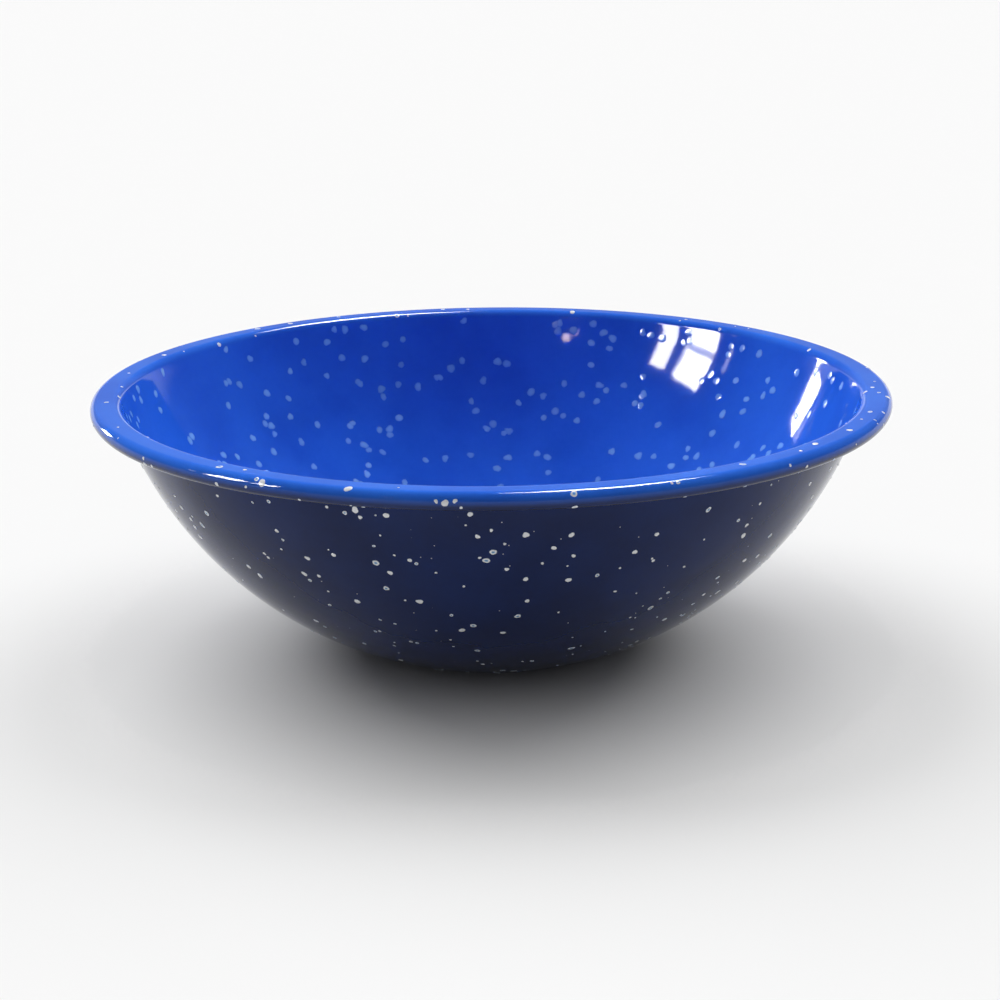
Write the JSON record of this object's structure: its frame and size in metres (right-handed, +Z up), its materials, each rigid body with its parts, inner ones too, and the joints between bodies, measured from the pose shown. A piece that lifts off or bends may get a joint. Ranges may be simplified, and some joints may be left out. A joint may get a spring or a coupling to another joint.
{
  "type": "enamel basin bowl",
  "caption": "Round deep bowl of pressed steel with a rolled rim and a flat base, enamelled blue inside and out and flecked with white, for washing, mixing or serving.",
  "frame": {"origin": "centre of the flat base, on the surface that the bowl stands on", "axes": "+Z up along the bowl's axis; X and Y are level, and the bowl is round, so neither is special"},
  "size_m": [0.26, 0.26, 0.0856],
  "materials": {
    "steel": "satin",
    "ground_enamel": "satin",
    "blue_enamel": "gloss",
    "white_enamel": "gloss"
  },
  "bodies": {
    "root": {"steel_shell": "steel", "inner_ground_coat": "ground_enamel", "outer_ground_coat": "ground_enamel", "inner_blue_coat": "blue_enamel", "outer_blue_coat": "blue_enamel", "inner_flecks": "white_enamel", "rim_flecks": "white_enamel", "outer_flecks": "white_enamel"}
  },
  "joints": []
}
